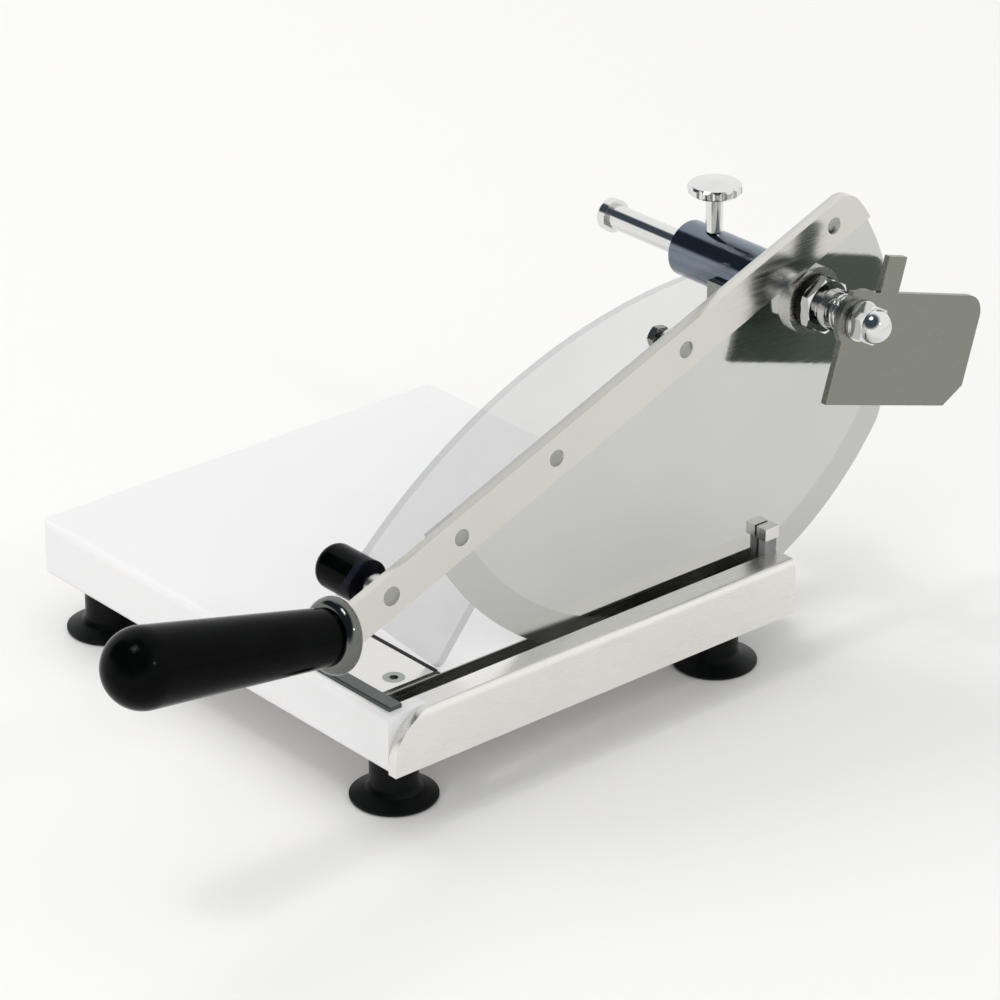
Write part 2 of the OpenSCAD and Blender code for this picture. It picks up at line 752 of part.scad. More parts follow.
module blade_outline(inset = 0) intersection() {
    translate([-blade_centre_front, blade_centre_up]) circle(blade_r - inset, $fn = 180);
    rotate(lever_slope) under_line(bar_top);
    rotate(lever_slope) lever_back();
}

module bar_outline() intersection() {
    translate([-bar_reach - bar_w, bar_low]) square([bar_reach + bar_w + reach, bar_w]);
    lever_back();
}

module bar_hole_places(list) for (s = list) on_bar(s) children();

rivet_places = [rivet_front, rivet_middle, -rivet_rear];

// Blade, lever bar and rivets
module blade() color("lightgray") at_pivot() difference() {
    sheet(-blade_t / 2, blade_t / 2) blade_outline();
    difference() {
        sheet(blade_t / 2 - bevel_t, blade_t) rotate(lever_slope) under_line(bar_low - bevel_stop);
        translate([blade_t / 2 - bevel_t, -blade_centre_front, blade_centre_up]) rotate([0, 90, 0])
            cylinder(h = 2 * bevel_t, r1 = blade_r, r2 = blade_r - 2 * bevel_w, $fn = 180);
    }
    round_bar(-blade_t, blade_t, hub_spigot_d + 2 * fit);
    bar_hole_places(rivet_places) round_bar(-blade_t, blade_t, rivet_d + 2 * fit);
    on_bar(guard_screw_reach) round_bar(-blade_t, blade_t, rivet_d + 2 * fit);
}

module lever_bar() color("lightgray") difference() {
    at_pivot() rotate([lever_slope, 0, 0]) sheet(bar_x0, bar_x1) bar_outline();
    at_handle() translate([-reach / 2, -reach / 2, 0]) cube([reach, reach, reach]);
    at_pivot() bar_hole_places(rivet_places) round_bar(0, 2 * bar_x1, rivet_d + 2 * fit);
    at_pivot() on_bar(guard_screw_reach) round_bar(0, 2 * bar_x1, rivet_d + 2 * fit);
    at_pivot() on_bar(knob_reach) round_bar(0, 2 * bar_x1, knob_stud_d + 2 * fit);
}

module rivet_head(x, head_d) {
    dome_r = (head_d * head_d / 4 + rivet_head_h * rivet_head_h) / (2 * rivet_head_h);
    translate([x, 0, 0]) rotate([0, 90, 0]) intersection() {
        translate([0, 0, rivet_head_h - dome_r]) sphere(dome_r);
        cylinder(h = 2 * rivet_head_h, d = 2 * head_d);
    }
}

module blade_rivets() color("silver") at_pivot() bar_hole_places(rivet_places) {
    round_bar(-blade_t / 2, bar_x1, rivet_d);
    rivet_head(bar_x1, rivet_head_d);
    mirror([1, 0, 0]) rivet_head(blade_t / 2, rivet_head_d);
}

// Hub: it carries the blade on the pivot tube
module pivot_hub() color("silver") at_pivot() difference() {
    union() {
        round_bar(hub_x0, -blade_t / 2 - hub_flange_t, hub_d);
        round_bar(-blade_t / 2 - hub_flange_t, -blade_t / 2, hub_flange_d);
        round_bar(-blade_t / 2, hub_x1, hub_spigot_d);
    }
    round_bar(hub_x0 - 1, hub_x1 + 1, sleeve_d + 2 * run);
}

module hub_nut() color("gainsboro") at_pivot()
    ring(blade_t / 2, blade_t / 2 + hub_nut_t, hub_nut_d, hub_spigot_d + 2 * fit);

// Clear guard on the lever, with a lobe that reaches down behind the front plate
guard_t0 = bar_rise + guard_crown - guard_r;
guard_mid = -bar_reach + guard_middle;
guard_front = -bar_reach + free;
guard_rear = -hub_d - guard_corner_r;
knob_reach = bar_reach - knob_inset;
lobe_y = slot_front + front_plate_d + lobe_gap + lobe_r - pivot_y;
lobe_z = board_top + lobe_gap + lobe_r - pivot_z;
lobe = [lobe_y * cos(lever_slope) + lobe_z * sin(lever_slope),
        lobe_z * cos(lever_slope) - lobe_y * sin(lever_slope)];

// Where a line from a point touches the lobe's tip
function lobe_touch(p, side) = let (d = p - lobe, a = atan2(d.y, d.x) + side * acos(lobe_r / norm(d)))
    lobe + lobe_r * [cos(a), sin(a)];

module guard_lobe() {
    front = [guard_front, bar_low];
    rear = [guard_mid, bar_low];
    polygon([front, lobe_touch(front, 1), lobe, lobe_touch(rear, -1), rear]);
    translate(lobe) circle(lobe_r);
}

module guard_outline() {
    intersection() {
        translate([guard_mid, guard_t0]) circle(guard_r, $fn = 180);
        translate([guard_front, bar_low]) square([guard_rear - guard_front, reach]);
    }
    guard_lobe();
}

module guard() color([0.86, 0.86, 0.94, 0.5]) at_pivot() difference() {
    rotate([lever_slope, 0, 0]) sheet(guard_x0, guard_x1) guard_outline();
    on_bar(guard_screw_reach) round_bar(guard_x0 - 1, guard_x1 + 1, rivet_d + 2 * fit);
    on_bar(knob_reach) round_bar(guard_x0 - 1, guard_x1 + 1, knob_stud_d + 2 * fit);
}

module guard_spacers() color("gainsboro") at_pivot() {
    on_bar(guard_screw_reach) ring(guard_x1, -blade_t / 2, guard_spacer_d, rivet_d + 2 * fit);
    on_bar(knob_reach) ring(guard_x1, bar_x0, guard_spacer_d, knob_stud_d + 2 * fit);
}

module guard_screw() color("silver") at_pivot() on_bar(guard_screw_reach) {
    round_bar(guard_x0, bar_x1, rivet_d);
    rivet_head(bar_x1, rivet_head_d);
    hex_nut(guard_x0 - guard_nut_t, guard_x0, guard_nut_af);
}

module knob_stud() color("silver") at_pivot() on_bar(knob_reach) {
    round_bar(guard_x0 - knob_stud_in, bar_x1, knob_stud_d);
    rivet_head(bar_x1, knob_head_d);
}

module guard_knob() color("#15191a") at_pivot() on_bar(knob_reach) translate([guard_x0 - free, 0, 0])
    rotate([0, -90, 0]) rotate_extrude() difference() {
        union() {
            square([knob_d / 2, knob_l - knob_edge_r]);
            square([knob_d / 2 - knob_edge_r, knob_l]);
            translate([knob_d / 2 - knob_edge_r, knob_l - knob_edge_r]) circle(knob_edge_r);
        }
        translate([-1, -1]) square([1 + knob_stud_d / 2 + run, 1 + knob_stud_in + free]);
    }

// Handle
module ferrule() color("silver") at_handle() rotate_extrude() difference() {
    union() {
        square([ferrule_d / 2 - ferrule_l / 2, ferrule_l]);
        translate([ferrule_d / 2 - ferrule_l / 2, ferrule_l / 2]) circle(ferrule_l / 2);
    }
    translate([-1, -1]) square([1 + tang_d / 2 + fit, ferrule_l + 2]);
}

module handle_tang() color("gray") at_handle() cylinder(h = tang_l, d = tang_d);

module grip() color("#15191a") at_handle() difference() {
    rotate_extrude() {
        polygon([
            [0, ferrule_l], [shoulder_r - (shoulder_z - ferrule_l) * tan(grip_taper), ferrule_l],
            [shoulder_r, shoulder_z], [0, grip_tip_z]
        ]);
        intersection() {
            translate([0, grip_tip_z]) circle(grip_tip_r);
            translate([0, shoulder_z]) square(reach);
        }
    }
    translate([0, 0, -1]) cylinder(h = tang_l + 1 + fit, d = tang_d + 2 * fit);
}

// Stop rod and what it carries
module stop_rod() color("silver") at_pivot() round_bar(rod_x0, rod_x1, rod_d);

module rod_end_cap() color("gainsboro") at_pivot() translate([rod_x0 + rod_cap_l - cap_edge_r, 0, 0])
    rotate([0, -90, 0]) rotate_extrude() difference() {
        union() {
            square([rod_cap_d / 2, rod_cap_l - cap_edge_r]);
            square([rod_cap_d / 2 - cap_edge_r, rod_cap_l]);
            translate([rod_cap_d / 2 - cap_edge_r, rod_cap_l - cap_edge_r]) circle(cap_edge_r);
        }
        translate([-1, -1]) square([1 + rod_d / 2 + fit, 1 + rod_cap_l - cap_edge_r + fit]);
    }

module spring_collar() color("silver") at_pivot() ring(collar_x0, spring_x0, collar_d, rod_d + 2 * fit);

module stop_washers() color("silver") at_pivot() {
    ring(spring_x1, spring_x1 + stop_washer_t, collar_d, rod_d + 2 * fit);
    ring(stop_x1 + free, stop_nut_x0, collar_d, rod_d + 2 * fit);
}

module stop_nut() color("gainsboro") at_pivot() difference() {
    union() {
        hex_nut(stop_nut_x0, rod_x1, stop_nut_af);
        translate([rod_x1, 0, 0]) sphere(stop_dome_r);
    }
    round_bar(stop_nut_x0 - 1, rod_x1 + fit, rod_d + 2 * fit);
    round_bar(stop_nut_x0 - 2 * stop_dome_r, stop_nut_x0, 2 * stop_nut_af);
}

// Coil spring: one tube along a helix, its ends straight and square to the faces they meet
rings_per_turn = 8;
wire_sides = 6;
spring_steps = spring_turns * rings_per_turn;
spring_rise = spring_l - 2 * spring_wire_d;
spring_r = spring_d / 2;
function spring_point(i) = let (a = 360 * i / rings_per_turn)
    [spring_x0 + spring_wire_d + spring_rise * i / spring_steps, spring_r * cos(a), spring_r * sin(a)];
spring_path = concat(
    [[spring_x0, spring_r, 0]],
    [for (i = [0 : spring_steps]) spring_point(i)],
    [[spring_x1, spring_point(spring_steps).y, spring_point(spring_steps).z]]
);
spring_last = len(spring_path) - 1;
function unit(v) = v / norm(v);
function spring_dir(i) = i == 0 || i == spring_last ? [1, 0, 0]
    : unit(unit(spring_path[i + 1] - spring_path[i]) + unit(spring_path[i] - spring_path[i - 1]));
function spring_out(i) = let (p = spring_path[i], d = spring_dir(i), o = unit([0, p.y, p.z]))
    unit(o - (o * d) * d);
function wire_ring(i) = let (d = spring_dir(i), o = spring_out(i), side = cross(d, o))
    [for (k = [0 : wire_sides - 1]) let (a = 360 * k / wire_sides)
        spring_path[i] + spring_wire_d / 2 * (cos(a) * o + sin(a) * side)];

module stop_spring() color("silver") at_pivot() {
    points = [for (i = [0 : spring_last]) each wire_ring(i)];
    sides = [for (i = [0 : spring_last - 1], k = [0 : wire_sides - 1])
        let (a = i * wire_sides + k, b = i * wire_sides + (k + 1) % wire_sides)
            each [[a, b, b + wire_sides], [a, b + wire_sides, a + wire_sides]]];
    last = spring_last * wire_sides;
    ends = [for (k = [1 : wire_sides - 2]) each [[0, k + 1, k], [last, last + k, last + k + 1]]];
    polyhedron(points, concat(sides, ends));
}

// The spring's least gap to itself, measured between its wire's rings more than half a turn apart
spring_gap = min([for (i = [0 : spring_last], j = [0 : spring_last]) if (j - i > rings_per_turn / 2)
    norm(spring_path[i] - spring_path[j])]) - spring_wire_d;
echo(spring_gap = spring_gap);

// Stop plate
module stop_outline() difference() {
    union() {
        translate([-stop_fore, -stop_down])
            square([stop_back + stop_fore - stop_corner_r, stop_down + stop_up]);
        translate([stop_back - stop_corner_r - 1, -stop_down + stop_corner_r])
            square([stop_corner_r + 1, stop_down + stop_up - 2 * stop_corner_r]);
        translate([stop_back - stop_corner_r, stop_up - stop_corner_r]) circle(stop_corner_r);
        translate([stop_back - stop_corner_r, -stop_down + stop_corner_r]) circle(stop_corner_r, $fn = 4);
        circle(stop_eye_r);
        translate([tab_back - tab_w, 0]) square([tab_w, tab_up]);
    }
    circle(rod_d / 2 + run);
}

module stop_plate() color("darkgray") at_pivot() rotate([-stop_tilt, 0, 0])
    sheet(stop_x0, stop_x1) stop_outline();

// Thumb screw that clamps the rod, with finger scallops round its head
module thumb_profile() {
    translate([0, rod_d / 2 + free]) square([thumb_stud_d / 2, thumb_z - rod_d / 2 - free]);
    polygon([
        [0, housing_d / 2 + free], [thumb_neck_d / 2, housing_d / 2 + free],
        [thumb_neck_d / 2, thumb_z - thumb_cone], [thumb_head_d / 2 - thumb_chamfer, thumb_z],
        [thumb_head_d / 2, thumb_z + thumb_chamfer],
        [thumb_head_d / 2, thumb_z + thumb_head_t - thumb_chamfer],
        [thumb_head_d / 2 - thumb_chamfer, thumb_z + thumb_head_t], [0, thumb_z + thumb_head_t + thumb_crown]
    ]);
}

module thumb_screw() color("gainsboro") at_pivot() translate([thumb_x, 0, 0]) difference() {
    rotate_extrude() thumb_profile();
    for (i = [0 : thumb_scallops - 1]) rotate(360 * i / thumb_scallops)
        translate([thumb_head_d / 2 + scallop_d / 2 - scallop_depth, 0, thumb_z - thumb_cone])
            cylinder(h = thumb_cone + thumb_head_t + thumb_crown, d = scallop_d);
}

board();
front_plate();
front_plate_screws();
front_strip();
side_rail();
rail_brackets();
bracket_screws();
blade_guide();
guide_cap();
foot_front_left();
foot_front_right();
foot_rear_left();
foot_rear_right();
foot_studs();
rear_post();
rear_post_bolts();
rod_housing();
housing_screws();
pivot_sleeve();
thrust_washers();
pivot_nut();
lever_bar();
blade();
blade_rivets();
pivot_hub();
hub_nut();
guard();
guard_spacers();
guard_screw();
knob_stud();
guard_knob();
ferrule();
handle_tang();
grip();
stop_rod();
rod_end_cap();
spring_collar();
stop_spring();
stop_washers();
stop_plate();
stop_nut();
thumb_screw();
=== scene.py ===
"""Looks of a lever bread slicer: finishes, small details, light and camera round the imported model."""
import json
import math

import bmesh
import bpy
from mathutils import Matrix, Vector


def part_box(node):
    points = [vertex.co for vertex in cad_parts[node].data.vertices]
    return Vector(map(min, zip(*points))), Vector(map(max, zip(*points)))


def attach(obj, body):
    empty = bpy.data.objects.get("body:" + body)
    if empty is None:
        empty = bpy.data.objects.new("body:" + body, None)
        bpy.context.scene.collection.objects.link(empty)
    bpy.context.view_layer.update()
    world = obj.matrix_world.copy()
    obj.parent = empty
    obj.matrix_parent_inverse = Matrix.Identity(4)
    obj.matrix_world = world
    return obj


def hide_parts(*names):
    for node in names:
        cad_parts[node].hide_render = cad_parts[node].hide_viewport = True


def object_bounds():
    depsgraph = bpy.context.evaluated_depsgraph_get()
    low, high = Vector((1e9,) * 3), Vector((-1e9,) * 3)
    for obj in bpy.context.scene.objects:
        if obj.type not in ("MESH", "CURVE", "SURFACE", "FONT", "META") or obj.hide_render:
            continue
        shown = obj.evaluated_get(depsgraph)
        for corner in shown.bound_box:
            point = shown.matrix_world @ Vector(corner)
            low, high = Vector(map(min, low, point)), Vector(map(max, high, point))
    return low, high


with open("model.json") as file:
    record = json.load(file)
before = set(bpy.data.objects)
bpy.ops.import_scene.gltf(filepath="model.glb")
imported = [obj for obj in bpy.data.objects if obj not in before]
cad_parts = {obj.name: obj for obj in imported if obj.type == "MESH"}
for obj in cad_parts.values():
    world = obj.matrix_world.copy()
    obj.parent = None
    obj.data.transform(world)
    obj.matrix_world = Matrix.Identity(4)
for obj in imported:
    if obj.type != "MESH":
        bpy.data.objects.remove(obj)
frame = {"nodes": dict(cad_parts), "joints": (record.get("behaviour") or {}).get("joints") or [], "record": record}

cad_low, cad_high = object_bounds()
nodes = frame["nodes"]
joints = {joint["name"]: joint for joint in frame["joints"]}
pivot = Vector(joints["lever_hinge"]["pos_m"])
MM = 0.001

# Camera: the photograph's viewing angle, and its place from the pivot
CAMERA_AZIMUTH = math.radians(49.24)
CAMERA_ELEVATION = math.radians(25.82)
CAMERA_FROM_PIVOT = Vector((1.280, -1.287, 0.774))
CAMERA_LENS = 156.42
CAMERA_SENSOR = 36
CAMERA_REACH = 50

# Blade's round edge, from the pivot, and the ground bevel along it
BLADE_CENTRE = Vector((0, -0.081, 0.014))
BLADE_R = 157 * MM
BEVEL_W = 16 * MM
BEVEL_BLEND = 0.3 * MM
BEVEL_DULLNESS = 0.16

# Grain of brushed and ground steel: its fineness to the metre, and its stretch along the bar
BRUSHED_GRAIN = 1600
GROUND_GRAIN = 1200
GRAIN_STRETCH = (1, 0.012, 1)
STAIN_SCALE = 22

# Box round the groove in the board behind the front plate, whose inside is painted dark grey as painted shade
plate_low, plate_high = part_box("front_plate")
GROOVE_SIDE = 1 * MM
GROOVE_FRONT = 0.1 * MM
GROOVE_BACK = 2.1 * MM
GROOVE_DEPTH = 8 * MM
GROOVE_TOP = 0.3 * MM
GROOVE = ((plate_low.x - GROOVE_SIDE, plate_high.y - GROOVE_FRONT, plate_low.z - GROOVE_DEPTH),
          (plate_high.x + GROOVE_SIDE, plate_high.y + GROOVE_BACK, plate_low.z - GROOVE_TOP))
# Dark grey painted inside the groove: painted shade
GROOVE_SHADE = (0.10, 0.10, 0.095)

# Sockets of the Mix node that carry colours
MIX_FIRST, MIX_SECOND, MIX_RESULT = 6, 7, 2


class Nodes:
    """A node tree with short calls for the nodes that the finishes and the sky share."""

    def __init__(self, tree):
        self.tree = tree
        self.coord = self.node("ShaderNodeTexCoord").outputs

    def fill(self, socket, value):
        """Sets a socket to a plain value, or links another node's output to it."""
        if isinstance(value, bpy.types.NodeSocket):
            self.tree.links.new(value, socket)
        else:
            socket.default_value = value

    def node(self, kind, inputs=None, **settings):
        """A new node with its settings and, by name or number, what its inputs hold."""
        made = self.tree.nodes.new(kind)
        for key, value in settings.items():
            setattr(made, key, value)
        for key, value in (inputs or {}).items():
            self.fill(made.inputs[key], value)
        return made

    def axes(self, vector):
        """A vector's X, Y and Z."""
        return self.node("ShaderNodeSeparateXYZ", {"Vector": vector}).outputs

    def noise(self, scale, detail=3, stretch=(1, 1, 1), turn=(0, 0, 0)):
        """Noise over the model, from 0 to 1."""
        mapping = self.node("ShaderNodeMapping",
                            {"Vector": self.coord["Object"], "Scale": stretch, "Rotation": turn})
        texture = self.node("ShaderNodeTexNoise",
                            {"Vector": mapping.outputs["Vector"], "Scale": scale, "Detail": detail})
        return texture.outputs["Fac"]

    def span(self, value, low, high, to_low=0, to_high=1, **settings):
        """Maps a value from one range to another, clamped."""
        made = self.node("ShaderNodeMapRange", {"Value": value, "From Min": low, "From Max": high,
                                                "To Min": to_low, "To Max": to_high}, **settings)
        return made.outputs["Result"]

    def math(self, operation, *values):
        """One operation on one or two values."""
        made = self.node("ShaderNodeMath", dict(enumerate(values)), operation=operation)
        return made.outputs["Value"]

    def tint(self, value, first, second):
        """A colour between two, plain or from other nodes, by a value from 0 to 1."""
        made = self.node("ShaderNodeMix", {"Factor": value}, data_type="RGBA")
        for number, colour in ((MIX_FIRST, first), (MIX_SECOND, second)):
            self.fill(made.inputs[number], (*colour, 1) if isinstance(colour, tuple) else colour)
        return made.outputs[MIX_RESULT]

    def in_box(self, low, high):
        """1 inside a box of the model and 0 outside it."""
        place = self.axes(self.coord["Object"])
        inside = 1.0
        for axis, start, end in zip("XYZ", low, high):
            inside = self.math("MULTIPLY", inside, self.math("GREATER_THAN", place[axis], start))
            inside = self.math("MULTIPLY", inside, self.math("LESS_THAN", place[axis], end))
        return inside


class Shader(Nodes):
    """A material made of nodes."""

    def __init__(self, name):
        self.material = bpy.data.materials.new(name)
        self.material.use_nodes = True
        super().__init__(self.material.node_tree)
        self.surface = self.tree.nodes["Principled BSDF"]

    def put(self, **values):
        """Sets or links the surface's own sockets; an underscore stands for a space."""
        for key, value in values.items():
            self.fill(self.surface.inputs[key.replace("_", " ")], value)

    def bump(self, height, distance):
        made = self.node("ShaderNodeBump", {"Height": height, "Distance": distance})
        self.put(Normal=made.outputs["Normal"])


# Finishes
def scaled(colour, factor):
    """A colour made darker or lighter."""
    return tuple(c * factor for c in colour)


def brushed(name, colour, roughness, depth, back=None):
    """Steel brushed along the bar, with soft stains; back is a darker colour painted on faces turned to the left,
    as painted shade.
    """
    shader = Shader(name)
    grain = shader.noise(BRUSHED_GRAIN, 4, GRAIN_STRETCH)
    stain = shader.noise(STAIN_SCALE, 4)
    face = shader.tint(stain, scaled(colour, 0.90), colour)
    # Faces turned to the left get the back colour: painted shade
    if back:
        turned = shader.axes(shader.coord["Normal"])["X"]
        face = shader.tint(shader.span(turned, -0.6, -0.9), face, back)
    rough = shader.math("ADD", shader.span(grain, 0.3, 0.7, roughness - 0.05, roughness + 0.06),
                        shader.span(stain, 0.35, 0.75, 0.0, 0.05))
    shader.put(Base_Color=face, Roughness=rough, Metallic=1.0)
    shader.bump(grain, depth)
    return shader.material


def blade_steel(name, colour, roughness):
    """Mirror-ground steel; the bevel along its round edge is duller."""
    shader = Shader(name)
    from_centre = shader.node("ShaderNodeVectorMath",
                              {0: shader.coord["Object"], 1: pivot + BLADE_CENTRE}, operation="SUBTRACT")
    place = shader.axes(from_centre.outputs["Vector"])
    square = shader.math("ADD", shader.math("POWER", place["Y"], 2), shader.math("POWER", place["Z"], 2))
    inner = BLADE_R - BEVEL_W
    bevel = shader.span(shader.math("SQRT", square), inner - BEVEL_BLEND, inner + BEVEL_BLEND)
    grain = shader.noise(GROUND_GRAIN, 4, GRAIN_STRETCH)
    stain = shader.noise(STAIN_SCALE, 4)
    face = shader.tint(stain, scaled(colour, 0.93), colour)
    ground = shader.tint(stain, scaled(colour, 0.84), scaled(colour, 0.90))
    rough = shader.math("ADD", shader.span(grain, 0.3, 0.7, roughness - 0.03, roughness + 0.03),
                        shader.math("MULTIPLY", bevel, BEVEL_DULLNESS))
    shader.put(Base_Color=shader.tint(bevel, face, ground), Roughness=rough, Metallic=1.0)
    shader.bump(grain, 0.004 * MM)
    return shader.material


def polished(name, colour, roughness):
    """Polished steel with faint smears."""
    shader = Shader(name)
    smear = shader.noise(120, 5, (1, 0.4, 1))
    pits = shader.noise(1500, 2)
    shader.put(Base_Color=shader.tint(smear, scaled(colour, 0.93), colour),
               Roughness=shader.span(smear, 0.3, 0.75, roughness, roughness + 0.07), Metallic=1.0)
    shader.bump(pits, 0.004 * MM)
    return shader.material


def board_plastic(name):
    """White board plastic, finely grained, with faint knife marks and painted shade inside its groove."""
    shader = Shader(name)
    cloud = shader.noise(9, 4)
    grain = shader.noise(900, 3)
    cuts = shader.noise(260, 2, (1, 0.03, 1), (0, 0, 0.10))
    crossing = shader.noise(210, 2, (1, 0.025, 1), (0, 0, -0.17))
    marks = shader.math("MAXIMUM", shader.span(cuts, 0.70, 0.78), shader.span(crossing, 0.71, 0.79))
    clean = shader.tint(cloud, (0.80, 0.80, 0.805), (0.855, 0.85, 0.85))
    # Inside the groove's box the board is painted dark grey as painted shade
    shader.put(Base_Color=shader.tint(shader.in_box(*GROOVE), clean, GROOVE_SHADE),
               Roughness=shader.span(cloud, 0.3, 0.7, 0.34, 0.44),
               Subsurface_Weight=0.08, Subsurface_Scale=0.004)
    shader.bump(shader.math("SUBTRACT", shader.math("MULTIPLY", grain, 0.5), marks), 0.03 * MM)
    return shader.material


def plastic(name, colour, roughness, grain_scale, depth, specular):
    """Rubber or plastic, mostly black, with a fine grain and a little dust."""
    shader = Shader(name)
    dust = shader.noise(60, 5)
    grain = shader.noise(grain_scale, 3)
    dusty = tuple(c * 2.2 + 0.0008 for c in colour)
    shader.put(Base_Color=shader.tint(shader.span(dust, 0.45, 0.8), colour, dusty),
               Roughness=shader.span(dust, 0.3, 0.75, roughness, roughness + 0.12),
               Specular_IOR_Level=specular)
    shader.bump(grain, depth)
    return shader.material


def clear(name):
    """Clear plastic sheet with a faint lavender tint; its cut rim is denser."""
    shader = Shader(name)
    facing = shader.math("ABSOLUTE", shader.axes(shader.coord["Normal"])["X"])
    rim = shader.span(facing, 0.9, 0.6)
    haze = shader.noise(14, 4)
    veil = shader.span(haze, 0.3, 0.7, 0.10, 0.13)
    shader.put(Base_Color=shader.tint(rim, (0.012, 0.012, 0.03), (0.03, 0.03, 0.055)),
               Alpha=shader.math("MAXIMUM", veil, shader.math("MULTIPLY", rim, 0.26)),
               Roughness=shader.span(haze, 0.3, 0.7, 0.05, 0.14))
    return shader.material


finishes = {
    "white_board": board_plastic("white_board_plastic"),
    "steel": brushed("brushed_steel", (0.78, 0.77, 0.735), 0.24, 0.005 * MM),
    "blade_steel": blade_steel("ground_blade_steel", (0.635, 0.64, 0.62), 0.08),
    "polished_steel": polished("polished_steel", (0.78, 0.78, 0.77), 0.07),
    "housing_steel": polished("housing_steel", (0.18, 0.215, 0.26), 0.07),
    "dark_steel": brushed("satin_steel", (0.36, 0.37, 0.34), 0.26, 0.008 * MM),
    "bar_steel": brushed("bar_steel", (0.71, 0.70, 0.65), 0.14, 0.002 * MM),
    "rail_steel": brushed("rail_steel", (0.88, 0.87, 0.83), 0.28, 0.0025 * MM),
    "ferrule_steel": polished("ferrule_steel", (0.16, 0.165, 0.155), 0.06),
    # The stop plate's left face is painted dark teal as painted shade
    "plate_steel": brushed("plate_steel", (0.255, 0.26, 0.225), 0.24, 0.004 * MM,
                           back=(0.10, 0.125, 0.11)),
    "black_rubber": plastic("black_rubber", (0.002, 0.0026, 0.0028), 0.30, 700, 0.02 * MM, 0.12),
    "black_plastic": plastic("black_plastic", (0.0008, 0.001, 0.001), 0.06, 500, 0.003 * MM, 0.045),
    "dark_gloss": plastic("dark_gloss_plastic", (0.030, 0.042, 0.038), 0.14, 700, 0.01 * MM, 0.6),
    "guide_plastic": plastic("grey_plastic", (0.22, 0.22, 0.22), 0.40, 800, 0.03 * MM, 0.4),
    "clear_plastic": clear("clear_plastic"),
}

# Each node has its slot's finish, apart from these
OWN_FINISH = {
    "front_plate_screws": "dark_steel",
    "rod_housing": "housing_steel",
    "front_strip": "dark_gloss",
    "stop_plate": "plate_steel",
    "side_rail": "rail_steel",
    "guard_screw": "dark_steel",
    "guard_spacers": "rail_steel",
    "lever_bar": "bar_steel",
    "ferrule": "ferrule_steel",
    "blade_rivets": "dark_steel",
    "knob_stud": "dark_steel",
}
slot_of = {part["node"]: part["material_slot"] for part in frame["record"]["subparts"]}
for node, slot in {**slot_of, **OWN_FINISH}.items():
    materials = nodes[node].data.materials
    materials.clear()
    materials.append(finishes[slot])

# Rounded edges of flat pieces
FLAT_ANGLE = math.radians(0.3)
EDGE_ANGLE = math.radians(40)
EDGE_SEGMENTS = 2


def soften(node, width):
    """Rounds a flat piece's sharp edges."""
    piece = nodes[node]
    merge = piece.modifiers.new("merge", "DECIMATE")
    merge.decimate_type = "DISSOLVE"
    merge.angle_limit = FLAT_ANGLE
    edge = piece.modifiers.new("edge", "BEVEL")
    edge.width = width
    edge.segments = EDGE_SEGMENTS
    edge.limit_method = "ANGLE"
    edge.angle_limit = EDGE_ANGLE
    edge.harden_normals = True


for flat in ("front_plate", "side_rail", "lever_bar", "guide_cap", "blade_guide", "rail_brackets"):
    soften(flat, 0.35 * MM)
for thick in ("stop_plate", "rear_post"):
    soften(thick, 0.6 * MM)


# New pieces
def add_piece(name, mesh, body, slot, *stands_for):
    piece = bpy.data.objects.new(name, mesh)
    bpy.context.scene.collection.objects.link(piece)
    mesh.materials.append(finishes[slot])
    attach(piece, body)
    if stands_for:
        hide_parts(*stands_for)


# Coil spring round the pivot's axis, wound finer than its solid
SPRING_WIRE = 1.5 * MM
SPRING_TURNS = 2.5
SPRING_STEPS = 48
WIRE_SIDES = 12
WIRE_END_ANGLE = math.radians(50)


def tube(name, path, radius, sides):
    """A closed round tube along a path of points that goes round the pivot's axis."""
    shape = bmesh.new()
    turns = [2 * math.pi * k / sides for k in range(sides)]
    rings = []
    for i, point in enumerate(path):
        ahead = (path[min(i + 1, len(path) - 1)] - path[max(i - 1, 0)]).normalized()
        away = Vector((0, point.y - pivot.y, point.z - pivot.z)).normalized()
        side = ahead.cross(away).normalized()
        out = side.cross(ahead)
        ring = [point + radius * (math.cos(turn) * out + math.sin(turn) * side) for turn in turns]
        rings.append([shape.verts.new(place) for place in ring])
    for near, far in zip(rings, rings[1:]):
        for k in range(sides):
            shape.faces.new((near[k], near[k - 1], far[k - 1], far[k]))
    shape.faces.new(rings[0])
    shape.faces.new(reversed(rings[-1]))
    bmesh.ops.recalc_face_normals(shape, faces=shape.faces)
    mesh = bpy.data.meshes.new(name)
    shape.to_mesh(mesh)
    shape.free()
    mesh.shade_smooth()
    mesh.set_sharp_from_angle(angle=WIRE_END_ANGLE)
    return mesh


def make_spring():
    low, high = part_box("stop_spring")
    radius = high.y - pivot.y - SPRING_WIRE / 2
    start, end = low.x + SPRING_WIRE, high.x - SPRING_WIRE
    count = int(SPRING_TURNS * SPRING_STEPS)
    path = []
    for i in range(count + 1):
        turn = 2 * math.pi * i / SPRING_STEPS
        path.append(Vector((start + (end - start) * i / count,
                            pivot.y + radius * math.cos(turn), pivot.z + radius * math.sin(turn))))
    first, last = path[0], path[-1]
    path = [Vector((low.x, first.y, first.z)), *path, Vector((high.x, last.y, last.z))]
    mesh = tube("coil_spring", path, SPRING_WIRE / 2, WIRE_SIDES)
    add_piece("coil_spring", mesh, "stop_rod", "polished_steel", "stop_spring")


make_spring()

# Guard, its front edge cut back to the line that shows behind the front plate.
# The cut starts at one point and touches the round lobe; both are given on the bar's own axes.
LEVER_SLOPE = math.radians(21.2)
GUARD_CUT = Vector((-265, 17.7)) * MM
LOBE = Vector((-239.2, -29.4)) * MM
LOBE_R = 4 * MM
GUARD_EDGE_ANGLE = math.radians(30)
SAME_POINT = 0.001 * MM


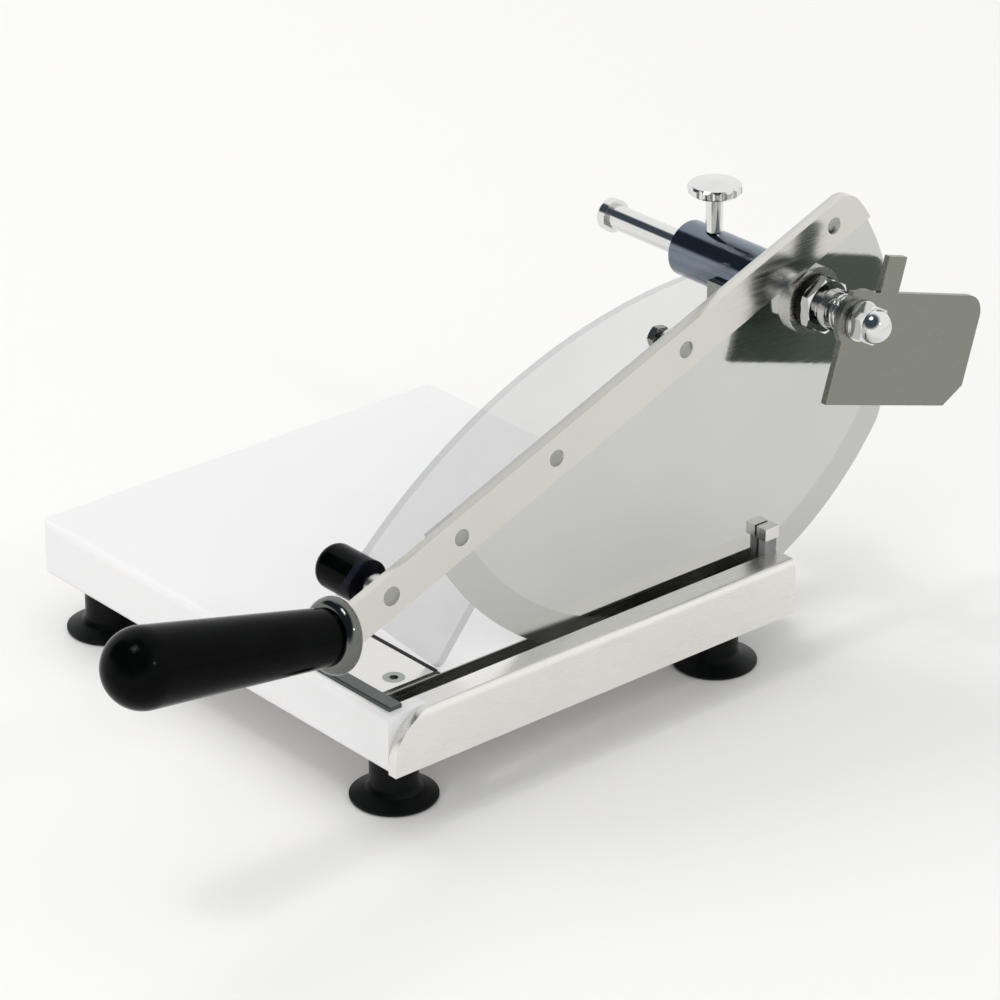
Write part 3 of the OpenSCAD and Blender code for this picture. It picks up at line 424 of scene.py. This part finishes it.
def on_lever(along, above):
    """A direction in the lever's plane, from the bar's own axes."""
    return Vector((0, along * math.cos(LEVER_SLOPE) - above * math.sin(LEVER_SLOPE),
                   along * math.sin(LEVER_SLOPE) + above * math.cos(LEVER_SLOPE)))


def make_guard():
    mesh = nodes["guard"].data.copy()
    mesh.materials.clear()
    to_lobe = LOBE - GUARD_CUT
    angle = math.atan2(to_lobe.y, to_lobe.x) - math.asin(LOBE_R / to_lobe.length)
    shape = bmesh.new()
    shape.from_mesh(mesh)
    bmesh.ops.remove_doubles(shape, verts=shape.verts, dist=SAME_POINT)
    bmesh.ops.bisect_plane(shape, geom=[*shape.verts, *shape.edges, *shape.faces], dist=SAME_POINT,
                           plane_co=pivot + on_lever(*GUARD_CUT),
                           plane_no=on_lever(math.sin(angle), -math.cos(angle)), clear_outer=True)
    bmesh.ops.holes_fill(shape, edges=[edge for edge in shape.edges if edge.is_boundary])
    bmesh.ops.recalc_face_normals(shape, faces=shape.faces)
    shape.to_mesh(mesh)
    shape.free()
    mesh.set_sharp_from_angle(angle=GUARD_EDGE_ANGLE)
    add_piece("clear_guard", mesh, "lever", "clear_plastic", "guard")


make_guard()

# Painted shade: a thin black strip on the front plate's rear edge for the shadow line there, and thin dark steel
# on the board's side of the blade slot for the shade in the slot
SHADE_STRIP_W = 1.9 * MM
SHADE_STRIP_T = 0.25 * MM
SLOT_SHADE_T = 0.6 * MM
SLOT_SHADE_RAISED = 4 * MM
SLOT_SHADE_GAP = 0.1 * MM


def block(name, low, high):
    """A plain box between two corners."""
    shape = bmesh.new()
    bmesh.ops.create_cube(shape, size=1)
    for vert in shape.verts:
        vert.co = Vector([a + (b - a) * (c + 0.5) for a, b, c in zip(low, high, vert.co)])
    mesh = bpy.data.meshes.new(name)
    shape.to_mesh(mesh)
    shape.free()
    return mesh


# Painted shade: a thin black strip along the front plate's rear edge, where there is only a shadow line
def make_shade_strip():
    low = Vector((plate_low.x, plate_high.y - SHADE_STRIP_W, plate_high.z))
    high = Vector((plate_high.x, plate_high.y, plate_high.z + SHADE_STRIP_T))
    add_piece("plate_shade_strip", block("plate_shade_strip", low, high), "base", "black_rubber")


# Painted shade: a thin dark steel sheet on the board's side of the blade slot, darkening the slot where there is
# shade
def make_slot_shade():
    board_low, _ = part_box("board")
    guide_low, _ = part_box("blade_guide")
    low = Vector((plate_high.x, plate_low.y, board_low.z + SLOT_SHADE_RAISED))
    high = Vector((plate_high.x + SLOT_SHADE_T, guide_low.y, plate_low.z - SLOT_SHADE_GAP))
    add_piece("slot_shade_sheet", block("slot_shade_sheet", low, high), "base", "dark_steel")


make_shade_strip()
make_slot_shade()

# Stage: floor, sky, lamps and camera. Metal mirrors a sky that is dark round two directions, each from
# its first cosine to its second; the rest of the model is lit by an even sky.
FLOOR_SIZE = 14
FLOOR_COLOR = (0.90, 0.895, 0.885, 1)
WHITE = (1, 1, 1)
SKY_DARK = (0.05, 0.065, 0.085)
SKY_DIFFUSE = 0.77
DARK_SIDES = {(0.10, -0.62, 0.78): (0.45, 0.80), (-0.68, -0.47, 0.56): (0.88, 0.955)}

# Each lamp's direction and distance from the model's middle, its size, its power, and whether metal
# mirrors it
LAMPS = {
    "key": ((-0.60, 0.05, 0.80), 4.5, 2.0, 32, False),
    "top": ((-0.05, -0.35, 0.95), 4.0, 1.2, 20, True),
    "fill": ((0.35, -0.88, 0.30), 4.0, 2.5, 26, False),
    "spark": ((-0.05, -0.35, 0.95), 4.0, 0.09, 6, True),
    "side": ((0.84, 0.0, 0.55), 4.0, 0.25, 7, True),
}


def make_floor():
    half = FLOOR_SIZE / 2
    corners = [(-half, -half, 0), (half, -half, 0), (half, half, 0), (-half, half, 0)]
    mesh = bpy.data.meshes.new("floor")
    mesh.from_pydata(corners, [], [(0, 1, 2, 3)])
    floor = bpy.data.objects.new("floor", mesh)
    bpy.context.scene.collection.objects.link(floor)
    shader = Shader("floor")
    shader.put(Base_Color=FLOOR_COLOR, Roughness=0.75, Specular_IOR_Level=0.15)
    mesh.materials.append(shader.material)


def make_world():
    """A white studio with its dark directions, which show in metal only."""
    world = bpy.data.worlds.new("studio")
    bpy.context.scene.world = world
    world.use_nodes = True
    world.node_tree.nodes.clear()
    sky = Nodes(world.node_tree)

    def background(colour, strength=1.0):
        made = sky.node("ShaderNodeBackground", {"Color": colour, "Strength": strength})
        return made.outputs["Background"]

    def either(choice, first, second):
        return sky.node("ShaderNodeMixShader", {"Fac": choice, 1: first, 2: second}).outputs["Shader"]

    fades = []
    for side, (low, high) in DARK_SIDES.items():
        towards = sky.node("ShaderNodeVectorMath",
                           {0: sky.coord["Generated"], 1: Vector(side).normalized()}, operation="DOT_PRODUCT")
        fades.append(sky.span(towards.outputs["Value"], low, high, interpolation_type="SMOOTHSTEP"))
    mirrored = background(sky.tint(sky.math("MAXIMUM", *fades), WHITE, SKY_DARK))
    ray = sky.node("ShaderNodeLightPath").outputs
    metal = either(ray["Is Glossy Ray"], background((*WHITE, 1), SKY_DIFFUSE), mirrored)
    seen = sky.math("MAXIMUM", ray["Is Camera Ray"], ray["Is Transmission Ray"])
    sky.node("ShaderNodeOutputWorld", {"Surface": either(seen, metal, background((*WHITE, 1)))})


def make_lamp(name, direction, distance, size, power, mirrored):
    lamp = bpy.data.lights.new(name, "AREA")
    lamp.shape = "SQUARE"
    lamp.size = size
    lamp.energy = power
    made = bpy.data.objects.new(name, lamp)
    made.visible_glossy = mirrored
    towards = Vector(direction).normalized()
    middle = (cad_low + cad_high) / 2
    made.location = middle + towards * distance
    made.rotation_euler = towards.to_track_quat("Z", "Y").to_euler()
    bpy.context.scene.collection.objects.link(made)


def make_camera():
    camera = bpy.data.cameras.new("camera")
    camera.lens = CAMERA_LENS
    camera.sensor_width = CAMERA_SENSOR
    camera.clip_end = CAMERA_REACH
    made = bpy.data.objects.new("camera", camera)
    level = math.cos(CAMERA_ELEVATION)
    back = Vector((math.sin(CAMERA_AZIMUTH) * level, -math.cos(CAMERA_AZIMUTH) * level,
                   math.sin(CAMERA_ELEVATION)))
    made.location = pivot + CAMERA_FROM_PIVOT
    made.rotation_euler = (-back).to_track_quat("-Z", "Y").to_euler()
    bpy.context.scene.collection.objects.link(made)
    bpy.context.scene.camera = made


make_floor()
make_world()
for lamp_name, settings in LAMPS.items():
    make_lamp(lamp_name, *settings)
make_camera()
bpy.context.scene.view_settings.view_transform = "Standard"
